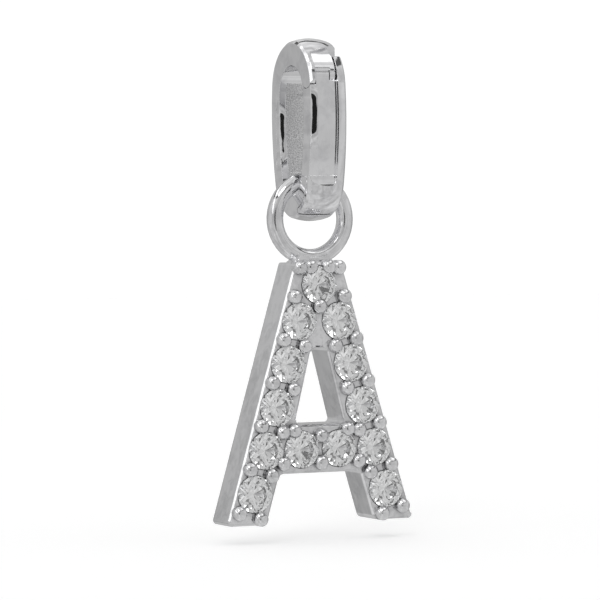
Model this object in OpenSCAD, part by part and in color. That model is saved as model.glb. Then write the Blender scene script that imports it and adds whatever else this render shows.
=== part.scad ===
// Initial pendant: a letter A set with 13 round stones, hanging by its cast ring
// from an oval clip bail whose front limb is a hinged gate.
// X to the viewer's right, -Y toward the viewer, +Z up.
// Origin: the inside top of the bail's opening, where a chain bears.

/* [Bail band] */
// Width of the bail's band along X
bail_w = 1.52; // [1.4:0.02:1.7]
// Depth of the oval from front to back at its widest
bail_depth = 4; // [3.8:0.02:4.2]
// Radius of the slightly bowed sides of the oval
side_r = 13; // [11:0.5:16]
// How much less than half the depth the top end's radius is
top_tuck = 0.05; // [0.03:0.005:0.06]
// How much less than half the depth the bottom end's radius is
bottom_tuck = 0.25; // [0.22:0.01:0.3]
// Thickness of the two limbs from front to back
limb_t = 0.88; // [0.84:0.01:0.92]
// Thickness of the crown over the opening
crown_t = 1.05; // [0.95:0.01:1.15]
// Thickness of the bottom arc below the opening
bottom_t = 0.95; // [0.88:0.01:1.05]
// Radius of the domed outer face across the band
dome_r = 2; // [1.8:0.05:2.4]
// Drop of the bevelled outer edges below the middle of the dome
edge_drop = 0.21; // [0.19:0.01:0.24]
// Depth of the satin channel in the back limb's inner face
channel_depth = 0.08; // [0.05:0.01:0.12]
// Width of the polished rims beside that channel
channel_rim = 0.3; // [0.2:0.02:0.4]

/* [Gate and hinge] */
// Drop of the hinge pin below the inside top of the opening
hinge_drop = 0.46; // [0.43:0.01:0.49]
// Diameter of the hinge pin
pin_d = 0.30; // [0.24:0.01:0.36]
// Radial clearance of the pin in its holes
pin_clear = 0.02; // [0.01:0.005:0.03]
// Running gap between the gate and the bail body
gate_gap = 0.04; // [0.03:0.005:0.05]
// Radius of the knuckles round the pin
knuckle_r = 0.36; // [0.34:0.01:0.37]
// Width of the body's cheek at the left of the hinge
cheek_w = 0.22; // [0.2:0.01:0.26]
// Width of the gate's raised rim at the right
rim_w = 0.40; // [0.36:0.01:0.44]
// Depth of the recessed panel in the gate's face
panel_depth = 0.19; // [0.17:0.01:0.21]
// Height of the gate's recessed panel
panel_h = 4.33; // [4:0.01:4.4]
// Radius of the panel's lower corner beside the rim
panel_corner_r = 0.5; // [0.3:0.05:0.6]
// Radius of the gate's ear round the pin at the right face
ear_r = 0.74; // [0.7:0.01:0.78]
// Depth of the step on the crown's front
lip_depth = 0.1; // [0.07:0.01:0.12]
// Thickness of the bottom lip that the gate closes over
lip_t = 0.25; // [0.24:0.01:0.28]

/* [Letter] */
// Drop of the feet below the last pair of leg stones
foot_drop = 1.208; // [1.1:0.01:1.3]
// Width of the letter across its top
letter_top_w = 2.0; // [1.96:0.02:2.1]
// Width of the letter across its feet
letter_foot_w = 7.96; // [7.8:0.02:8.3]
// Thickness of the letter from front to back
letter_t = 1.5; // [1.4:0.05:2]
// Width of each leg measured level
leg_w = 1.68; // [1.66:0.01:1.76]
// Rise of the crossbar's top edge above its stones' centres
bar_rise = 0.959; // [0.92:0.001:1]
// Height of the crossbar
bar_h = 1.88; // [1.84:0.01:1.94]
// Drop of the upper opening's apex below the letter's top
apex_drop = 3.3; // [3.2:0.05:3.5]
// Half the width of the upper opening at its base
opening_half = 1.06; // [1.02:0.01:1.08]
// Bevel round the front edges of the letter
letter_bevel = 0.1; // [0.06:0.01:0.12]

/* [Ring] */
// Radius of the ring's wire centre line
ring_r = 1.5; // [1.46:0.01:1.56]
// Diameter of the ring's wire
ring_wire_d = 0.65; // [0.6:0.01:0.7]
// Rise of the ring's centre above the letter's top
ring_rise = 1.69; // [1.64:0.01:1.74]
// Gap between the ring and the bail where the ring hangs
ring_gap = 0.04; // [0.03:0.005:0.06]

/* [Stones] */
// Diameter of each round stone
stone_d = 1.45; // [1.38:0.01:1.48]
// Level pitch of the stones down each leg
stone_pitch = 1.653; // [1.64:0.001:1.665]
// Drop of the single top stone below the letter's top
top_stone_drop = 0.875; // [0.86:0.005:0.9]
// Drop of the first pair of leg stones below the letter's top
leg_stone_drop = 2.28; // [2.26:0.01:2.32]
// Distance of the two crossbar stones from the middle
bar_stone_x = 0.80; // [0.78:0.01:0.82]
// Height of the girdle above the letter's front face
girdle_rise = 0.04; // [0.02:0.01:0.06]
// Gap all round between a stone and its seat
seat_gap = 0.015; // [0.01:0.001:0.02]
// Diameter of the light hole behind each stone
light_hole_d = 0.6; // [0.5:0.02:0.7]
// Diameter of each bead-shaped prong
prong_d = 0.56; // [0.52:0.01:0.6]
// Height of the prongs above the letter's front face
prong_h = 0.36; // [0.32:0.01:0.4]

/* [Hidden] */
$fn = 48;
round_fn = 96;
small = 0.01;
far = 8;

// The oval is four tangent arcs: two bowed sides, a top end and a bottom end.
half_w = bail_w / 2;
half_depth = bail_depth / 2;
top_r = half_depth - top_tuck;
bottom_r = half_depth - bottom_tuck;
side_c = half_depth - side_r;
top_reach = sqrt(pow(side_r - top_r, 2) - pow(side_c, 2));
bottom_reach = sqrt(pow(side_r - bottom_r, 2) - pow(side_c, 2));
top_c = crown_t - top_r;
side_z = top_c - top_reach;
bottom_c = side_z - bottom_reach;
bottom_z = bottom_c - bottom_r;
shoulder_z = side_z + side_r * top_reach / (side_r - top_r);
foot_z = side_z - side_r * bottom_reach / (side_r - bottom_r);
section_t = 1.15;

// The bowed sides stand this hair proud of the end arcs where they join.
seam_step = 0.004;

// The opening is four tangent arcs of its own, one limb's thickness inside the sides.
open_bottom = bottom_z + bottom_t;
in_r = side_r - limb_t;
function end_r(reach) = (pow(in_r, 2) - pow(side_c, 2) - pow(reach, 2)) / 2 / (in_r - reach);
open_top_r = end_r(-side_z);
open_bottom_r = end_r(side_z - open_bottom);
open_top_sin = (-side_z - open_top_r) / (in_r - open_top_r);
open_bottom_sin = (side_z - open_bottom - open_bottom_r) / (in_r - open_bottom_r);
channel_high_z = -open_top_r;
channel_low_z = open_bottom + open_bottom_r + channel_depth;

// Hinge: pin centre, cheek and knuckle places along X.
hinge_z = -hinge_drop;
hinge_in = 0.613;
hinge_y = -half_depth + hinge_in;
cheek_metal = 0.115;
shoulder_r = knuckle_r + cheek_metal;
cheek_x = -half_w + cheek_w;
rim_x = half_w - rim_w;
knuckle_in = 0.26;
knuckle_x = rim_x - knuckle_in;
pin_end_in = 0.08;
pin_end = half_w - pin_end_in;

// Step across the crown's front, and the notch at its right end: heights and depths.
lip_z = 0.595;
lip_rise = 0.255;
notch_x = 0.3;
notch_low = 0.3;
notch_back = -0.8;
tongue_rise = 0.16;
tongue_z = hinge_z + tongue_rise;

// Panel in the gate's face, and the latch where the gate meets the body below.
panel_top_drop = 0.09;
panel_top_z = hinge_z - panel_top_drop;
panel_low_z = panel_top_z - panel_h;
ramp_r = 0.95;
latch_r = hinge_z - bottom_z - lip_t;
latch_y = -0.52;
catch_in = 0.42;
catch_r = bottom_r - catch_in;
catch_top = 3.9;

// The letter hangs by its ring from the bottom arc, as long as its rows of stones need.
ring_wire_r = ring_wire_d / 2;
ring_hole_r = ring_r - ring_wire_r;
ring_z = open_bottom - sqrt(pow(ring_hole_r, 2) - pow(half_w, 2)) + ring_gap;
letter_top = ring_z - ring_rise;
face_y = -letter_t / 2;
bar_drop = leg_drop(3);
bar_top = bar_drop - bar_rise;
letter_h = leg_drop(4) + foot_drop;
outer_slope = (letter_foot_w - letter_top_w) / 2 / letter_h;
slant = sqrt(1 + pow(outer_slope, 2));
bar_low = bar_top + bar_h;
opening_slope = 0.25;
apex_half = opening_half - opening_slope * (bar_top - apex_drop);
neck_h = 0.5;
neck_half = 0.82;
neck_t = 0.9;
neck_fillet = 0.3;
neck_fillet_out = 0.12;
neck_root = 0.05;

// Corner radii of the letter's outline.
top_corner_r = 0.1;
foot_outer_r = 0.16;
foot_inner_r = 0.24;
inner_corner_r = 0.14;
apex_r = 0.2;

// Round brilliant: radii and heights as shares of the stone's diameter.
facets = 8;
facet_step = 180 / facets;
stone_r = stone_d / 2;
girdle_half = 0.015 * stone_d;
table_r = 0.56 * stone_r;
crown_h = 0.15 * stone_d;
star_r = 0.80 * stone_r;
star_share = (star_r * cos(facet_step) - table_r) / (stone_r - table_r);
pavilion_h = 0.43 * stone_d;
lower_r = 0.30 * stone_r;
lower_share = lower_r * cos(facet_step) / stone_r;
table_z = girdle_half + crown_h;
star_z = girdle_half + crown_h * (1 - star_share);
lower_z = -girdle_half - pavilion_h * (1 - lower_share);
culet_z = -girdle_half - pavilion_h;
hole_r = light_hole_d / 2;
hole_z = -girdle_half - pavilion_h * (1 - hole_r / stone_r);

// Places of the stones: [x, drop below the letter's top].
row_inset = 0.785;
function leg_x(drop) = letter_top_w / 2 + outer_slope * drop;
function row_x(drop) = leg_x(drop) - row_inset * slant;
function leg_drop(k) = leg_stone_drop + stone_pitch * k;
left_places = [for (k = [0:4]) [-row_x(leg_drop(k)), leg_drop(k)]];
right_places = [for (k = [0:4]) [row_x(leg_drop(k)), leg_drop(k)]];
bar_places = [[-bar_stone_x, bar_drop], [bar_stone_x, bar_drop]];
stone_places = concat([[0, top_stone_drop]], left_places, right_places, bar_places);

// Places of the prongs on the right half and on the middle line: [x, drop].
prong_r = prong_d / 2;
prong_dome_share = 1.12;
prong_dome_r = prong_dome_share * prong_r;
prong_root = 0.2;
prong_off = 0.46;
across_x = prong_off / slant;
across_drop = prong_off * outer_slope / slant;
function gap_drop(k) = leg_stone_drop + stone_pitch * (k - 0.5);
outer_prongs = [for (k = [0:5]) [row_x(gap_drop(k)) + across_x, gap_drop(k) - across_drop]];
inner_prongs = [for (k = [1:5]) [row_x(gap_drop(k)) - across_x, gap_drop(k) + across_drop]];
// where the crossbar meets a leg, a prong below and one above it
joint_out = 0.816;
joint_low = 0.5;
crook_out = 0.336;
crook_high = 0.74;
// round the top stone: near the letter's corner, near the middle, and the one below it
corner_in = 0.18;
corner_low = 0.2;
crest_x = 0.38;
crest_low = 0.17;
chin_low = 0.25;
// above and below the middle of the crossbar
bar_prong_off = 0.52;
shared_prongs = [[bar_stone_x + joint_out, bar_drop + joint_low],
    [bar_stone_x + crook_out, bar_drop - crook_high],
    [letter_top_w / 2 - corner_in, corner_low], [crest_x, crest_low]];
middle_prongs = [[0, gap_drop(0) + chin_low], [0, bar_drop - bar_prong_off],
    [0, bar_drop + bar_prong_off]];
half_prongs = concat(outer_prongs, inner_prongs, shared_prongs);

// Rounding of an outline's corners: each corner is [x, y, radius], counter-clockwise.
function unit(v) = v / norm(v);
function corner(p, i) = [p[(i + len(p)) % len(p)][0], p[(i + len(p)) % len(p)][1]];
function back_dir(p, i) = unit(corner(p, i - 1) - corner(p, i));
function next_dir(p, i) = unit(corner(p, i + 1) - corner(p, i));
function half_turn(p, i) = acos(back_dir(p, i) * next_dir(p, i)) / 2;
function cut_back(p, i) = p[i][2] / tan(half_turn(p, i));
function arc_c(p, i) = corner(p, i)
    + unit(back_dir(p, i) + next_dir(p, i)) * p[i][2] / sin(half_turn(p, i));
function turn(p, i) = back_dir(p, i)[0] * next_dir(p, i)[1]
    - back_dir(p, i)[1] * next_dir(p, i)[0];
function cut_points(p) = [for (i = [0:len(p) - 1]) for (dir = [back_dir(p, i), next_dir(p, i)])
    corner(p, i) + cut_back(p, i) * dir];

module rounded_outline(p) {
    difference() {
        union() {
            polygon(cut_points(p));
            for (i = [0:len(p) - 1]) {
                if (turn(p, i) < 0) {
                    translate(arc_c(p, i)) circle(r = p[i][2]);
                }
            }
        }
        for (i = [0:len(p) - 1]) {
            if (turn(p, i) > 0) {
                translate(arc_c(p, i)) circle(r = p[i][2]);
            }
        }
    }
}

// Stands an outline drawn in (Y, Z) up between x0 and x1.
module across(x0, x1) {
    translate([x0, 0, 0]) rotate([90, 0, 90]) linear_extrude(height = x1 - x0) children();
}

// Stands an outline drawn in (X, Z) up between y0 and y1.
module through(y0, y1) {
    translate([0, y1, 0]) rotate([90, 0, 0]) linear_extrude(height = y1 - y0) children();
}

// Section of the band for an outside radius r: radius along x, band width along y.
module band_section(r) {
    edge = r - edge_drop;
    intersection() {
        translate([r - dome_r, 0]) circle(r = dome_r, $fn = round_fn);
        polygon([[r - section_t, -half_w], [edge, -half_w], [edge + half_w, 0],
            [edge, half_w], [r - section_t, half_w]]);
    }
}

// Whole hoop of the band about an axis along X, of which the oval takes one stretch.
module hoop(y, z, r) {
    translate([0, y, z]) rotate([90, 0, 90]) rotate_extrude($fn = round_fn) band_section(r);
}

// The stretch of a hoop that lies inside a box from (y0, z0) to (y1, z1).
module stretch(y0, y1, z0, z1) {
    intersection() {
        children();
        across(-half_w, half_w) polygon([[y0, z0], [y1, z0], [y1, z1], [y0, z1]]);
    }
}

module oval_band() {
    stretch(-far, far, shoulder_z, far) hoop(0, top_c, top_r);
    stretch(0, far, foot_z, shoulder_z) hoop(side_c, side_z, side_r + seam_step);
    stretch(-far, 0, foot_z, shoulder_z) hoop(-side_c, side_z, side_r + seam_step);
    stretch(-far, far, -far, foot_z) hoop(0, bottom_c, bottom_r);
}

// The opening's outline in (Y, Z), grown by g.
module opening_outline(g) {
    high = side_z + (in_r + g) * open_top_sin;
    low = side_z - (in_r + g) * open_bottom_sin;
    intersection() {
        translate([side_c, side_z]) circle(r = in_r + g, $fn = round_fn);
        translate([-side_c, side_z]) circle(r = in_r + g, $fn = round_fn);
        translate([-half_depth, low]) square([bail_depth, high - low]);
    }
    intersection() {
        translate([0, -open_top_r]) circle(r = open_top_r + g);
        translate([-half_depth, high]) square([bail_depth, half_depth]);
    }
    intersection() {
        translate([0, open_bottom + open_bottom_r]) circle(r = open_bottom_r + g);
        translate([-half_depth, low - half_depth]) square([bail_depth, half_depth]);
    }
}

module link() {
    difference() {
        oval_band();
        across(-half_w - small, half_w + small) opening_outline(0);
    }
}

module pin_bore() {
    translate([-pin_end, hinge_y, hinge_z]) rotate([0, 90, 0])
        cylinder(r = pin_d / 2 + pin_clear, h = 2 * pin_end);
}

module hinge_disc(r) {
    translate([hinge_y, hinge_z]) circle(r = r);
}

// What lies in front of the latch and below the hinge, in (Y, Z), grown by g.
module gate_outline(g) {
    difference() {
        intersection() {
            translate([-far, -far])
                square([far + latch_y + g, far + hinge_z - gate_gap / 2 + g]);
            hinge_disc(latch_r + g, $fn = round_fn);
        }
        difference() {
            translate([0, bottom_c]) circle(r = catch_r + gate_gap - g);
            hinge_disc(catch_top - gate_gap + g, $fn = round_fn);
        }
    }
}

// The crown's front below the slanted lip, in (X, Z), from x0 to the right.
module below_lip(x0, z0) {
    x1 = half_w + small;
    polygon([[x0, z0], [x1, z0], [x1, lip_z + lip_rise * x1], [x0, lip_z + lip_rise * x0]]);
}

// Space of the ear round the hinge pin, grown by g.
module ear(g) {
    across(rim_x - g, half_w + small) hinge_disc(ear_r + g, $fn = round_fn);
}

module hinge_pin() {
    color("silver") translate([-pin_end + small, hinge_y, hinge_z]) rotate([0, 90, 0])
        cylinder(r = pin_d / 2, h = 2 * (pin_end - small));
}

module bail_body() {
    color("silver") difference() {
        link();
        // the gate's place, left of the hinge round the cheek, elsewhere up to the pin
        across(-half_w - small, cheek_x) difference() {
            gate_outline(gate_gap);
            hinge_disc(shoulder_r);
        }
        across(cheek_x, half_w + small) difference() {
            union() {
                gate_outline(gate_gap);
                translate([-far, -far]) square([far + hinge_y, far + tongue_z]);
            }
            hinge_disc(knuckle_r);
        }
        across(cheek_x, knuckle_x) hinge_disc(knuckle_r + gate_gap);
        // the stepped tongue, the notch and the ear's place
        difference() {
            through(-far, 0) below_lip(cheek_x, hinge_z);
            across(-half_w, half_w + 2 * small) translate([0, top_c])
                circle(r = top_r - lip_depth, $fn = round_fn);
        }
        through(-far, notch_back) below_lip(notch_x, notch_low);
        ear(gate_gap);
        // the satin channel inside the back limb
        across(-half_w + channel_rim, half_w - channel_rim) intersection() {
            opening_outline(channel_depth);
            translate([0, channel_low_z]) square([half_depth, channel_high_z - channel_low_z]);
        }
        pin_bore();
    }
}

// The recessed panel's place in (X, Z), open to the left.
module panel_outline() {
    top = hinge_z + knuckle_r;
    rounded_outline([[-far, panel_low_z, small], [rim_x, panel_low_z, panel_corner_r],
        [rim_x, top, small], [-far, top, small]]);
}

module panel_cut() {
    floor_r = side_r - panel_depth;
    ball_z = panel_low_z + ramp_r * sin(acos(1 - panel_depth / ramp_r));
    ball_y = -sqrt(pow(floor_r + ramp_r, 2) - pow(ball_z - side_z, 2)) - side_c;
    intersection() {
        through(-far, hinge_y) panel_outline();
        across(-half_w - small, half_w) union() {
            difference() {
                translate([-far, ball_z]) square([far + hinge_y, far]);
                translate([-side_c, side_z]) circle(r = floor_r, $fn = round_fn);
            }
            translate([ball_y, ball_z]) circle(r = ramp_r);
        }
    }
}

module bail_gate() {
    color("silver") difference() {
        union() {
            difference() {
                intersection() {
                    link();
                    across(-half_w - small, half_w + small) gate_outline(0);
                }
                across(-half_w - small, cheek_x + gate_gap) hinge_disc(shoulder_r + gate_gap);
                across(knuckle_x - gate_gap, rim_x) hinge_disc(knuckle_r + gate_gap);
                panel_cut();
            }
            across(cheek_x + gate_gap, knuckle_x - gate_gap) hinge_disc(knuckle_r);
            intersection() {
                link();
                ear(0);
            }
        }
        pin_bore();
    }
}

// Letter outline in (X, Z), counter-clockwise with its corner radii.
function outline_points() = let (
    top_x = letter_top_w / 2,
    foot_x = letter_foot_w / 2,
    low_x = leg_x(bar_low) - leg_w,
    foot_z = letter_top - letter_h,
    low_z = letter_top - bar_low
) [[top_x, letter_top, top_corner_r], [-top_x, letter_top, top_corner_r],
    [-foot_x, foot_z, foot_outer_r], [leg_w - foot_x, foot_z, foot_inner_r],
    [-low_x, low_z, inner_corner_r], [low_x, low_z, inner_corner_r],
    [foot_x - leg_w, foot_z, foot_inner_r], [foot_x, foot_z, foot_outer_r]];

function opening_points() = [[-apex_half, letter_top - apex_drop, apex_r],
    [-opening_half, letter_top - bar_top, inner_corner_r],
    [opening_half, letter_top - bar_top, inner_corner_r],
    [apex_half, letter_top - apex_drop, apex_r]];

// Bevels the front edges along the straight sides of an outline.
module edge_bevels(p) {
    for (i = [0:len(p) - 1]) {
        start = corner(p, i) + (cut_back(p, i) + small) * next_dir(p, i);
        stop = corner(p, i + 1) + (cut_back(p, (i + 1) % len(p)) + small) * back_dir(p, i + 1);
        run = stop - start;
        translate([start[0], face_y, start[1]]) rotate([0, -atan2(run[1], run[0]), 0])
            rotate([45, 0, 0]) translate([0, -letter_bevel, -letter_bevel] / sqrt(2))
                cube([norm(run), letter_bevel * sqrt(2), letter_bevel * sqrt(2)]);
    }
}

module prong_section() {
    middle = prong_h - prong_dome_r;
    intersection() {
        translate([0, -prong_root]) square([prong_r, prong_root + prong_h]);
        union() {
            translate([0, middle]) circle(r = prong_dome_r);
            translate([0, -prong_root]) square([prong_r, prong_root + middle]);
        }
    }
}

module prong(place) {
    translate([place[0], face_y, letter_top - place[1]]) rotate([90, 0, 0])
        rotate_extrude() prong_section();
}

// Space cut for one stone: its own form grown by the gap, and a light hole behind.
module seat(place) {
    wide = stone_r + seat_gap;
    translate([place[0], face_y - girdle_rise, letter_top - place[1]]) rotate([90, 0, 0])
        rotate_extrude() polygon([[0, table_z + seat_gap], [table_r + seat_gap, table_z + seat_gap],
            [wide, girdle_half], [wide, -girdle_half - seat_gap],
            [hole_r, hole_z - seat_gap * 2], [hole_r, -far], [0, -far]]);
}

module ring() {
    translate([0, 0, ring_z]) rotate([90, 0, 0])
        rotate_extrude($fn = round_fn) translate([ring_r, 0]) circle(r = ring_wire_r);
}

// Solder neck between the ring and the letter's top, hollow-sided.
module neck() {
    through(-neck_t / 2, neck_t / 2) difference() {
        translate([-neck_half, letter_top - neck_root]) square([2 * neck_half, neck_h + neck_root]);
        translate([0, ring_z]) circle(r = ring_r, $fn = round_fn);
        for (side = [-1, 1]) {
            translate([side * (neck_half + neck_fillet_out), letter_top + neck_fillet])
                circle(r = neck_fillet);
        }
    }
}

module letter() {
    color("silver") difference() {
        union() {
            difference() {
                through(face_y, -face_y) difference() {
                    rounded_outline(outline_points());
                    rounded_outline(opening_points());
                }
                edge_bevels(outline_points());
                edge_bevels(opening_points());
            }
            ring();
            neck();
            for (place = half_prongs) {
                prong(place);
                prong([-place[0], place[1]]);
            }
            for (place = middle_prongs) {
                prong(place);
            }
        }
        for (place = stone_places) {
            seat(place);
        }
    }
}

// One round brilliant with its girdle in the plane z = 0 and its table upward.
function rim_point(r, k, z) = [r * cos(facet_step * k), r * sin(facet_step * k), z];

module brilliant() {
    n = facets;
    m = 2 * facets;
    table_ring = [for (k = [0:n - 1]) rim_point(table_r, 2 * k, table_z)];
    star_ring = [for (k = [0:n - 1]) rim_point(star_r, 2 * k + 1, star_z)];
    high_ring = [for (k = [0:m - 1]) rim_point(stone_r, k, girdle_half)];
    low_ring = [for (k = [0:m - 1]) rim_point(stone_r, k, -girdle_half)];
    lower_ring = [for (k = [0:n - 1]) rim_point(lower_r, 2 * k + 1, lower_z)];
    star_0 = n;
    high_0 = 2 * n;
    low_0 = high_0 + m;
    lower_0 = low_0 + m;
    culet = lower_0 + n;
    polyhedron(
        points = concat(table_ring, star_ring, high_ring, low_ring, lower_ring, [[0, 0, culet_z]]),
        faces = concat(
            [[for (k = [0:n - 1]) n - 1 - k]],
            [for (k = [0:n - 1]) [k, (k + 1) % n, star_0 + k]],
            [for (k = [0:n - 1]) [k, star_0 + k, high_0 + 2 * k, star_0 + (k + n - 1) % n]],
            [for (k = [0:n - 1]) [star_0 + k, high_0 + 2 * k + 1, high_0 + 2 * k]],
            [for (k = [0:n - 1]) [star_0 + k, high_0 + (2 * k + 2) % m, high_0 + 2 * k + 1]],
            [for (k = [0:m - 1]) [high_0 + k, high_0 + (k + 1) % m, low_0 + (k + 1) % m, low_0 + k]],
            [for (k = [0:n - 1]) [lower_0 + k, low_0 + 2 * k, low_0 + 2 * k + 1]],
            [for (k = [0:n - 1]) [lower_0 + k, low_0 + 2 * k + 1, low_0 + (2 * k + 2) % m]],
            [for (k = [0:n - 1]) [culet, lower_0 + (k + n - 1) % n, low_0 + 2 * k, lower_0 + k]]));
}

module stone(k) {
    place = stone_places[k];
    color("white") translate([place[0], face_y - girdle_rise, letter_top - place[1]])
        rotate([90, 0, 0]) brilliant();
}

bail_body();
bail_gate();
hinge_pin();
letter();
stone(0);  // stone_01
stone(1);  // stone_02
stone(2);  // stone_03
stone(3);  // stone_04
stone(4);  // stone_05
stone(5);  // stone_06
stone(6);  // stone_07
stone(7);  // stone_08
stone(8);  // stone_09
stone(9);  // stone_10
stone(10);  // stone_11
stone(11);  // stone_12
stone(12);  // stone_13
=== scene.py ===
import math
import bpy
import numpy as np
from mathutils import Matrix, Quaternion, Vector


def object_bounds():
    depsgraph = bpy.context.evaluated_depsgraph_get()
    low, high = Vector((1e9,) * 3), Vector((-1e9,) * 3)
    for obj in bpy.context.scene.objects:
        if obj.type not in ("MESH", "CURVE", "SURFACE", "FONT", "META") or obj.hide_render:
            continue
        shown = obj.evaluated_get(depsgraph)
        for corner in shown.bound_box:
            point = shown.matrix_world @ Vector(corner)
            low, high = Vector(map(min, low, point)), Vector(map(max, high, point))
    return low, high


# Letter pendant on a hinged clip bail: finishes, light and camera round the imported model.
# Metres, +X to the viewer's right, -Y toward the viewer, +Z up.
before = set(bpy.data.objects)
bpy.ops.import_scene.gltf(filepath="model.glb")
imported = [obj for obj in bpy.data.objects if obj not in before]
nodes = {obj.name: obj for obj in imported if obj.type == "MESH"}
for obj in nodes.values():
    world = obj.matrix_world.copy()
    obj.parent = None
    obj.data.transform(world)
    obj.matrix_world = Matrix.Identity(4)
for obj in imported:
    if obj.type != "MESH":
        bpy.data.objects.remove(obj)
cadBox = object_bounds()
mm = 0.001
white = (1.0, 1.0, 1.0, 1.0)
raySamples = 6                # of the nodes that feel for edges and corners
print("frame loaded:", len(nodes), "nodes")


# A Value wraps one socket, so that shader maths reads as Python.
class Value:
    def __init__(self, tree, socket):
        self.tree = tree
        self.socket = socket

    def maths(self, operation, first, second):
        return addNode(self.tree, "ShaderNodeMath", {"operation": operation}, {0: first, 1: second})

    def __add__(self, other):
        return self.maths("ADD", self, other)

    def __sub__(self, other):
        return self.maths("SUBTRACT", self, other)

    def __rsub__(self, other):
        return self.maths("SUBTRACT", other, self)

    def __mul__(self, other):
        return self.maths("MULTIPLY", self, other)

    def __abs__(self):
        return self.maths("ABSOLUTE", self, 0.0)

    def step(self, low, high, atLow=0.0, atHigh=1.0):
        # smooth step from atLow at low to atHigh at high
        return addNode(self.tree, "ShaderNodeMapRange", {"interpolation_type": "SMOOTHSTEP"},
                       {0: self, 1: low, 2: high, 3: atLow, 4: atHigh})


def addNode(tree, kind, settings, values, output=0):
    node = tree.nodes.new(kind)
    for key, value in settings.items():
        setattr(node, key, value)
    for key, value in values.items():
        if isinstance(value, Value):
            tree.links.new(value.socket, node.inputs[key])
        else:
            node.inputs[key].default_value = value
    return Value(tree, node.outputs[output]) if len(node.outputs) else None


def startTree(owner):
    owner.use_nodes = True
    owner.node_tree.nodes.clear()
    return owner.node_tree


def partsOf(tree, vector):
    split = addNode(tree, "ShaderNodeSeparateXYZ", {}, {0: vector})
    return [Value(tree, split.socket.node.outputs[i]) for i in range(3)]


def millimetres(tree):
    # the piece's own coordinates, in millimetres
    coords = addNode(tree, "ShaderNodeTexCoord", {}, {}, "Object")
    return addNode(tree, "ShaderNodeVectorMath", {"operation": "SCALE"}, {0: coords, "Scale": 1 / mm})


def stretched(tree, vector, scales):
    return addNode(tree, "ShaderNodeVectorMath", {"operation": "MULTIPLY"}, {0: vector, 1: scales})


def noise(tree, vector, scale, detail, distortion=0.0):
    return addNode(tree, "ShaderNodeTexNoise", {},
                   {"Vector": vector, "Scale": scale, "Detail": detail, "Distortion": distortion})


def between(value, low, high, soft):
    # 1 from low to high, falling off to 0 over a soft edge outside them
    return value.step(low - soft, low) * value.step(high, high + soft, 1.0, 0.0)


def blended(tree, share, first, second):
    # colour from first to second by a share from 0 to 1
    return addNode(tree, "ShaderNodeMix", {"data_type": "RGBA"}, {0: share, 6: first, 7: second}, 2)


def tinted(tree, share, first, second):
    return blended(tree, share, (*first, 1.0), (*second, 1.0))


def principled(tree, values):
    surface = addNode(tree, "ShaderNodeBsdfPrincipled", {}, values)
    addNode(tree, "ShaderNodeOutputMaterial", {}, {"Surface": surface})


def putOn(material, *names):
    for name in names:
        for slot in nodes[name].material_slots:
            slot.material = material


# Polish shared by all the silver: cloudy dull patches, hairline polishing marks and a faint
# waviness left by the buffing wheel. Each noise is (scale per mm, detail, distortion).
polishLook = {
    "clouds": (0.9, 4.0, 0.4),
    "cloudShare": 0.6,
    "smudges": (3.2, 5.0, 0.8),
    "smudgeShare": 0.4,
    "dullRange": (0.42, 0.66),
    "lineStretch": (9.0, 9.0, 1.2),
    "lines": (3.0, 2.0),
    "lineRange": (0.45, 0.75),
    "lineRoughness": 0.03,
    "waves": (1.6, 1.0),
}


def silver(name, look, extra=None):
    material = bpy.data.materials.new(name)
    tree = startTree(material)
    place = millimetres(tree)
    cloud = noise(tree, place, *polishLook["clouds"]) * polishLook["cloudShare"]
    smudge = noise(tree, place, *polishLook["smudges"]) * polishLook["smudgeShare"]
    dull = (cloud + smudge).step(*polishLook["dullRange"])
    lines = noise(tree, stretched(tree, place, polishLook["lineStretch"]), *polishLook["lines"])
    waves = noise(tree, place, *polishLook["waves"])
    low, high = look["roughness"]
    scratches = lines.step(*polishLook["lineRange"]) * polishLook["lineRoughness"]
    roughness = dull * (high - low) + low + scratches
    colour = tinted(tree, dull, look["tint"], look["dullTint"])
    height = lines * (look["lineDepth"] * mm) + waves * (look["waveDepth"] * mm)
    if extra:
        colour, roughness, height = extra(tree, place, colour, roughness, height)
    # worn edges catch the light as if rounded
    rounded = addNode(tree, "ShaderNodeBevel", {"samples": raySamples},
                      {"Radius": look["edgeRadius"] * mm})
    bump = addNode(tree, "ShaderNodeBump", {},
                   {"Strength": 1.0, "Distance": 1.0, "Height": height, "Normal": rounded})
    principled(tree, {"Base Color": colour, "Roughness": roughness, "Metallic": 1.0, "Normal": bump})
    return material


# Narrow strips at a left edge that the polishing has turned over to the left, in mm.
turnedLook = {
    "slope": 0.47,
    "bow": 0.75,              # the slope at a strip's right side, as a share of the mean
    "taper": 0.8,
    "ripple": 0.05,
    "rippleStretch": (0.2, 0.2, 1.0),
    "ripples": (1.3, 1.0),
}


def turnedStrip(tree, place, strip, heights):
    # height of the surface: with t from 0 at the strip's right side to 1 at its left, it falls
    # by t (b + (1 - b) t) times its width and slope, and less and less toward its two ends
    x, _, z = partsOf(tree, place)
    ripple = noise(tree, stretched(tree, place, turnedLook["rippleStretch"]), *turnedLook["ripples"])
    shifted = x + (ripple - 0.5) * turnedLook["ripple"]
    left, right = strip
    fall = (right - left) * turnedLook["slope"] * mm
    t = addNode(tree, "ShaderNodeMapRange", {}, {0: shifted, 1: left, 2: right, 3: 1.0, 4: 0.0})
    drop = t * (t * (1 - turnedLook["bow"]) + turnedLook["bow"])
    return drop * between(z, *heights, turnedLook["taper"]) * -fall


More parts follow.
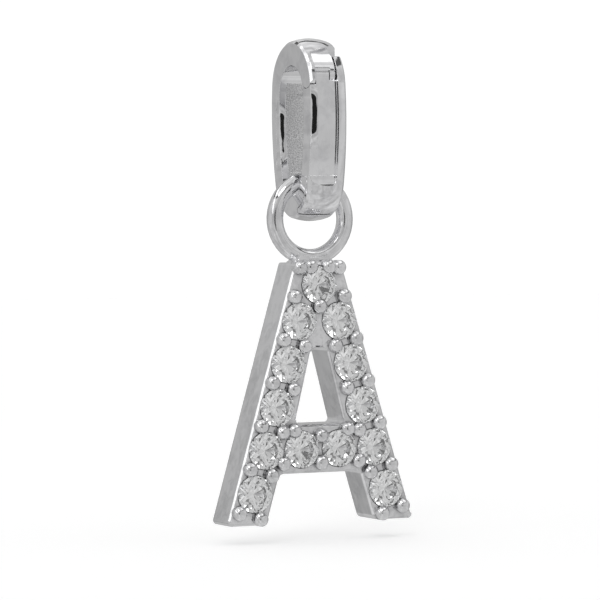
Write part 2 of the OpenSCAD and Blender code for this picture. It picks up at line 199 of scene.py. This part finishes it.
# Bail body: polished, with a sandblasted channel in the back limb's inner face.
bailLook = {
    "tint": (0.86, 0.86, 0.87),
    "dullTint": (0.74, 0.74, 0.755),
    "roughness": (0.02, 0.08),
    "lineDepth": 0.0006,      # mm, as all lengths of the silver
    "waveDepth": 0.006,
    "edgeRadius": 0.05,
}
channelLook = {
    "tints": ((0.52, 0.52, 0.53), (0.96, 0.96, 0.96)),
    "roughness": 0.36,
    "grit": (26.0, 2.0),
    "gritRange": (0.3, 0.7),
    "gritDepth": 0.007,
    "halfWidth": 0.46,
    "sideSoft": 0.02,
    "depths": (0.85, 1.35),   # from and to, behind the middle
    "depthSoft": 0.05,
    "heights": (-4.7, -0.7),
    "endSoft": 0.06,
    "rimStrip": (-0.77, -0.49),
    "rimHeights": (-3.3, -2.0),
}


def satinChannel(tree, place, colour, roughness, height):
    x, y, z = partsOf(tree, place)
    side = channelLook["halfWidth"]
    inside = between(y, *channelLook["depths"], channelLook["depthSoft"])
    mask = (abs(x).step(side - channelLook["sideSoft"], side, 1.0, 0.0) * inside
            * between(z, *channelLook["heights"], channelLook["endSoft"]))
    grit = noise(tree, place, *channelLook["grit"])
    satin = tinted(tree, grit.step(*channelLook["gritRange"]), *channelLook["tints"])
    rough = roughness * (1 - mask) + mask * channelLook["roughness"]
    strip = turnedStrip(tree, place, channelLook["rimStrip"], channelLook["rimHeights"])
    height = height + mask * grit * (channelLook["gritDepth"] * mm) + strip * inside
    return blended(tree, mask, colour, satin), rough, height


# Gate: polished, its recessed panel rolled over at the left edge.
gateLook = {
    "tint": (0.87, 0.87, 0.88),
    "dullTint": (0.74, 0.74, 0.755),
    "roughness": (0.02, 0.07),
    "lineDepth": 0.0006,
    "waveDepth": 0.005,
    "edgeRadius": 0.04,
}
panelLook = {
    "strip": (-0.77, -0.45),
    "heights": (-2.5, -1.4),
}


def rolledPanel(tree, place, colour, roughness, height):
    strip = turnedStrip(tree, place, panelLook["strip"], panelLook["heights"])
    return colour, roughness, height + strip


# Letter: cast, with soft dimples on its front and painted shade darkening the corners round the
# prongs and stones.
letterLook = {
    "tint": (0.88, 0.88, 0.89),
    "dullTint": (0.72, 0.72, 0.73),
    "roughness": (0.03, 0.11),
    "lineDepth": 0.0005,
    "waveDepth": 0.008,
    "edgeRadius": 0.06,
}
castLook = {
    "dimples": (2.8, 1.5, 0.3),
    "dimpleDepth": 0.045,
    "creviceReach": 0.30,
    "creviceRange": (0.25, 0.82),
    "paintedShadeTint": (0.22, 0.22, 0.225, 1.0),
    "creviceRoughness": 0.15,
    "frontEnd": (-0.74, -0.72),   # the seats behind these stay bright under their stones
}


def castSkinAndShade(tree, place, colour, roughness, height):
    dimples = noise(tree, place, *castLook["dimples"])
    openness = addNode(tree, "ShaderNodeAmbientOcclusion", {"samples": raySamples},
                       {"Distance": castLook["creviceReach"] * mm}, "AO")
    _, y, _ = partsOf(tree, place)
    front = y.step(*castLook["frontEnd"], 1.0, 0.0)
    # painted shade: where the occlusion node finds close metal, the colour goes toward a near-black
    # tint and the surface a little rougher
    paintedShade = openness.step(*castLook["creviceRange"], 1.0, 0.0) * front
    shaded = blended(tree, paintedShade, colour, castLook["paintedShadeTint"])
    height = height + dimples * front * (castLook["dimpleDepth"] * mm)
    return shaded, roughness + paintedShade * castLook["creviceRoughness"], height


pinLook = {
    "tint": (0.78, 0.78, 0.79),
    "dullTint": (0.66, 0.66, 0.67),
    "roughness": (0.10, 0.22),
    "lineDepth": 0.0006,
    "waveDepth": 0.002,
    "edgeRadius": 0.02,
}

putOn(silver("polished silver bail", bailLook, satinChannel), "bail_body")
putOn(silver("polished silver gate", gateLook, rolledPanel), "bail_gate")
putOn(silver("hinge pin silver", pinLook), "hinge_pin")
putOn(silver("cast silver letter", letterLook, castSkinAndShade), "letter")
print("silver finished")

# Clear stones: high refraction, faint haze and tint that differ from stone to stone.
stoneLook = {
    "tint": (0.985, 0.988, 0.99),
    "greyTint": (0.95, 0.955, 0.96),
    "refraction": 2.0,
    "innerGlow": 0.018,       # for the last faint bounces, which the render cuts short
    "roughness": (0.0, 0.03),
    "haze": (0.7, 2.0),
    "hazeRange": (0.35, 0.65),
}


def clearStone():
    material = bpy.data.materials.new("clear cut stone")
    tree = startTree(material)
    haze = noise(tree, millimetres(tree), *stoneLook["haze"])
    low, high = stoneLook["roughness"]
    colour = tinted(tree, haze.step(*stoneLook["hazeRange"]), stoneLook["tint"], stoneLook["greyTint"])
    principled(tree, {"Base Color": colour, "Roughness": haze * (high - low) + low,
                      "Transmission Weight": 1.0, "IOR": stoneLook["refraction"],
                      "Emission Color": white, "Emission Strength": stoneLook["innerGlow"]})
    return material


putOn(clearStone(), *[name for name in nodes if name.startswith("stone")])
print("stones finished")

# Camera at the photograph's viewing angle, rolled a little as the photographed pendant leans.
cameraPlace = {
    "azimuth": -25.0,
    "elevation": 1.28,
    "distance": 130 * mm,
    "target": (-0.46 * mm, 0.0, -9.12 * mm),
    "fieldOfView": 10.26,
    "roll": -0.6,
    "sensorWidth": 36.0,
    "clip": (1 * mm, 10.0),
}


def cameraDirection():
    # from the object to the camera
    a, e = math.radians(cameraPlace["azimuth"]), math.radians(cameraPlace["elevation"])
    return Vector((math.sin(a) * math.cos(e), -math.cos(a) * math.cos(e), math.sin(e)))


def makeCamera():
    data = bpy.data.cameras.new("camera")
    camera = bpy.data.objects.new("camera", data)
    bpy.context.scene.collection.objects.link(camera)
    back = cameraDirection()
    roll = Quaternion((0, 0, 1), math.radians(cameraPlace["roll"]))
    camera.location = Vector(cameraPlace["target"]) + back * cameraPlace["distance"]
    camera.rotation_mode = "QUATERNION"
    camera.rotation_quaternion = (-back).to_track_quat("-Z", "Y") @ roll
    data.sensor_width = cameraPlace["sensorWidth"]
    data.lens = data.sensor_width / 2 / math.tan(math.radians(cameraPlace["fieldOfView"]) / 2)
    data.clip_start, data.clip_end = cameraPlace["clip"]
    bpy.context.scene.camera = camera


makeCamera()
print("camera placed")

# Light tent: soft grey walls with folds and creases, a paler roof and ground. Heights are the
# z of a direction of length 1, and toward is how far it points to the camera's side.
tentLook = {
    "wall": 0.54,
    "backWall": 0.37,
    "backToward": (-1.0, -0.2),
    "backRise": 0.18,         # the back wall brightens upward
    "backRiseToward": (-0.9, -0.5),
    "backRiseHeights": (0.0, 0.25),
    "roof": 0.74,
    "roofHeights": (0.35, 0.8),
    "ground": 0.62,
    "groundHeights": (-0.5, 0.0),
}
# the cloth's folds and creases, each with the share by which it varies the light
clothWaves = [
    {"stretch": (1.6, 1.6, 0.9), "noise": (1.5, 2.0, 0.6), "range": (0.3, 0.7), "share": 0.20},
    {"stretch": (1.5, 1.5, 0.7), "noise": (4.5, 2.0, 0.8), "range": (0.35, 0.65), "share": 0.10},
]
# dark opening for the camera, lens-shaped: its half width shrinks with the square of the height
slitLook = {
    "light": 0.015,
    "half": 0.14,
    "reach": 0.27,
    "soft": 0.02,
    "toward": (0.0, 0.1),
}
# dark seam between the walls and the roof
seamLook = {
    "light": 0.10,
    "heights": (0.60, 0.68),
    "soft": 0.02,
}
# long strip light at the upper left, along the plane at right angles to "across"
stripLook = {
    "light": 0.9,
    "across": (-0.503, 0.650, -0.570),
    "half": 0.12,
    "soft": 0.03,
    "heights": (0.18, 0.76),
    "endSoft": 0.05,
    "leftOf": (-0.35, -0.25),
}
# round softboxes: a bright one in front at the upper left, a weaker one overhead at the right
softboxes = [
    {"at": (-0.45, -0.50, 0.74), "half": 0.19, "soft": 0.008, "light": 3.2},
    {"at": (0.42, -0.20, 0.86), "half": 0.22, "soft": 0.02, "light": 0.9},
]


def tentWalls(tree, direction, toward, z):
    wall = tentLook["wall"]
    light = toward.step(*tentLook["backToward"], tentLook["backWall"] - wall, 0.0) + wall
    behind = toward.step(*tentLook["backRiseToward"], 1.0, 0.0)
    light = light + behind * z.step(*tentLook["backRiseHeights"]) * tentLook["backRise"]
    light = light + z.step(*tentLook["roofHeights"], 0.0, tentLook["roof"] - wall)
    light = light + z.step(*tentLook["groundHeights"], tentLook["ground"] - wall, 0.0)
    cloth = 1.0
    for wave in clothWaves:
        folds = noise(tree, stretched(tree, direction, wave["stretch"]), *wave["noise"])
        cloth = folds.step(*wave["range"], -1.0, 1.0) * wave["share"] + cloth
    return light * cloth


def makeTent():
    world = bpy.data.worlds.new("light tent")
    bpy.context.scene.world = world
    tree = startTree(world)
    direction = addNode(tree, "ShaderNodeTexCoord", {}, {}, "Generated")
    x, y, z = partsOf(tree, direction)

    def along(way):
        return x * way.x + y * way.y + z * way.z

    ahead = cameraDirection()
    ahead = Vector((ahead.x, ahead.y, 0.0)).normalized()
    toward = along(ahead)
    sideways = along(Vector((-ahead.y, ahead.x, 0.0)))
    light = tentWalls(tree, direction, toward, z)

    height = z * (1 / slitLook["reach"])
    lens = (1 - height * height) * slitLook["half"]
    slit = (lens - abs(sideways)).step(0.0, slitLook["soft"]) * toward.step(*slitLook["toward"])
    light = light * (1 - slit) + slit * slitLook["light"]
    seam = between(z, *seamLook["heights"], seamLook["soft"])
    light = light * (1 - seam) + seam * seamLook["light"]

    half = stripLook["half"]
    strip = (abs(along(Vector(stripLook["across"]))).step(half - stripLook["soft"], half, 1.0, 0.0)
             * between(z, *stripLook["heights"], stripLook["endSoft"])
             * x.step(*stripLook["leftOf"], 1.0, 0.0))
    light = light + strip * stripLook["light"]
    for box in softboxes:
        edge = math.cos(box["half"])
        facing = along(Vector(box["at"]).normalized())
        light = light + facing.step(edge, edge + box["soft"]) * box["light"]
    surface = addNode(tree, "ShaderNodeBackground", {}, {"Color": white, "Strength": light})
    addNode(tree, "ShaderNodeOutputWorld", {}, {"Surface": surface})


makeTent()
print("light tent set")

# Stage: a pale floor just under the feet and a white backdrop that only the camera sees.
floorLook = {
    "gap": 0.7 * mm,
    "radius": 0.45,
    "rings": (0.0001, 0.1, 1.0),   # shares of the radius
    "sides": 96,
    "tint": (0.80, 0.80, 0.80),
    "dullTint": (0.78, 0.78, 0.78),
    "flecks": (0.05, 3.0),
    "roughness": 0.9,
    "glow": 0.44,
}
backdropLook = {
    "radius": 2.0,
    "sides": 64,
    "rows": 33,
    "poleGap": 0.001,         # radians left open at each pole
    "light": 1.05,
}


def gridMesh(name, x, y, z):
    # rows x columns of points, closed round its columns; quads join neighbours
    points = np.stack(np.broadcast_arrays(x, y, z), -1)
    rows, columns = points.shape[:2]
    r, c = np.meshgrid(np.arange(rows - 1), np.arange(columns), indexing="ij")
    ahead = (c + 1) % columns
    quads = np.stack([r * columns + c, r * columns + ahead, (r + 1) * columns + ahead,
                      (r + 1) * columns + c], -1).reshape(-1, 4)
    mesh = bpy.data.meshes.new(name)
    mesh.from_pydata(points.reshape(-1, 3).tolist(), [], quads.tolist())
    mesh.update()
    thing = bpy.data.objects.new(name, mesh)
    bpy.context.scene.collection.objects.link(thing)
    return thing


def makeFloor():
    # disc: x = r cos t, y = r sin t, at one level
    level = cadBox[0].z - floorLook["gap"]
    t = np.linspace(0, 2 * np.pi, floorLook["sides"], endpoint=False)
    r = floorLook["radius"] * np.array(floorLook["rings"])[:, None]
    floor = gridMesh("floor", r * np.cos(t), r * np.sin(t), level)
    material = bpy.data.materials.new("white card floor")
    tree = startTree(material)
    fleck = noise(tree, millimetres(tree), *floorLook["flecks"])
    principled(tree, {"Base Color": tinted(tree, fleck, floorLook["tint"], floorLook["dullTint"]),
                      "Roughness": floorLook["roughness"], "Specular IOR Level": 0.0,
                      "Emission Color": white, "Emission Strength": floorLook["glow"]})
    floor.data.materials.append(material)
    floor.visible_glossy = floor.visible_transmission = False
    return floor


def makeBackdrop():
    # sphere: (r sin u cos t, r sin u sin t, r cos u)
    t = np.linspace(0, 2 * np.pi, backdropLook["sides"], endpoint=False)
    gap = backdropLook["poleGap"]
    u = np.linspace(gap, np.pi - gap, backdropLook["rows"])[:, None]
    r = backdropLook["radius"]
    backdrop = gridMesh("backdrop", r * np.sin(u) * np.cos(t), r * np.sin(u) * np.sin(t), r * np.cos(u))
    material = bpy.data.materials.new("white backdrop")
    tree = startTree(material)
    glow = addNode(tree, "ShaderNodeEmission", {}, {"Color": white, "Strength": backdropLook["light"]})
    addNode(tree, "ShaderNodeOutputMaterial", {}, {"Surface": glow})
    backdrop.data.materials.append(material)
    backdrop.visible_diffuse = backdrop.visible_glossy = False
    backdrop.visible_transmission = backdrop.visible_shadow = False
    return backdrop


makeFloor()
makeBackdrop()
bpy.context.scene.view_settings.view_transform = "Standard"
print("stage set")
